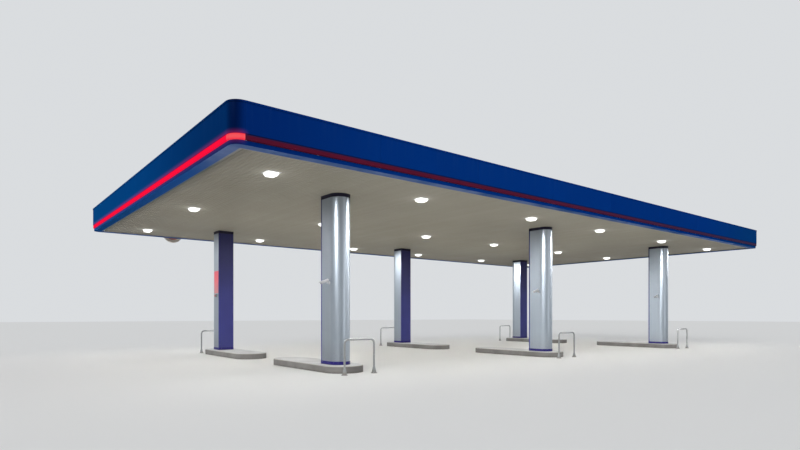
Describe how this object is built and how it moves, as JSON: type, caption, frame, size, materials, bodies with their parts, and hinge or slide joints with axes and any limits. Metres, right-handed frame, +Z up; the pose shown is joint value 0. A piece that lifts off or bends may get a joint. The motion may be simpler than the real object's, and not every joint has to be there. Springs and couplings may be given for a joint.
{
  "type": "filling station canopy",
  "caption": "Flat drive-through canopy with a deep fascia, a red light strip, recessed ceiling lights, clad columns on raised islands and hoop guards.",
  "frame": {"origin": "centre of the canopy's plan, on the forecourt", "axes": "+X along the long side, +Y across the canopy towards the back row, +Z up"},
  "size_m": [28.524, 15.824, 6.18],
  "materials": {
    "concrete": "worn cast concrete",
    "guard_zinc": "galvanised, pale grey",
    "steel": "grey primer",
    "silver_cladding": "glossy silver coating",
    "violet_cladding": "satin violet blue",
    "navy_trim": "dark navy, satin",
    "pipe": "grey plastic pipe",
    "zinc_section": "galvanised",
    "gutter_zinc": "galvanised, stained by rain",
    "deck": "ribbed coated sheet, weathered",
    "flashing": "folded coated sheet",
    "fascia_blue": "glossy navy blue",
    "strip_unlit": "red diffuser, unlit",
    "strip_lit": "red diffuser, lit from inside",
    "ceiling": "warm off-white strip ceiling",
    "ceiling_trim": "grey edge trim",
    "lamp_case": "white coating",
    "lamp_lens": "clear diffuser, lit",
    "camera_white": "white",
    "sign_blank": "blank, pale rim",
    "plate_red": "plain red coating"
  },
  "bodies": {
    "root": {"islands": "concrete", "hoop_guards": "guard_zinc", "column_cores": "steel", "casing_bars": "steel", "column_casings": "silver_cladding", "column_panels": "violet_cladding", "column_trims": "violet_cladding", "column_collars": "navy_trim", "column_skirts": "violet_cladding", "downpipes": "pipe", "girders": "steel", "purlin_cleats": "steel", "purlins": "zinc_section", "end_rafters": "zinc_section", "fascia_frames": "zinc_section", "gutters": "gutter_zinc", "gutter_linings": "gutter_zinc", "gutter_ends": "gutter_zinc", "roof_deck": "deck", "ridge_cap": "deck", "roof_flashing": "flashing", "capping": "fascia_blue", "fascia_front": "fascia_blue", "fascia_back": "fascia_blue", "fascia_left": "fascia_blue", "fascia_right": "fascia_blue", "fascia_corners": "fascia_blue", "light_strip_front": "strip_unlit", "light_strip_back": "strip_unlit", "light_strip_left": "strip_lit", "light_strip_right": "strip_unlit", "light_corners_left": "strip_lit", "light_corners_right": "strip_unlit", "lower_band": "fascia_blue", "soffit_panels": "ceiling", "soffit_trim": "ceiling_trim", "soffit_runners": "zinc_section", "lamp_housings": "lamp_case", "lamp_lenses": "lamp_lens", "camera_brackets": "camera_white", "camera_bodies": "camera_white", "round_sign": "sign_blank", "notice_plate": "plate_red"}
  },
  "joints": []
}
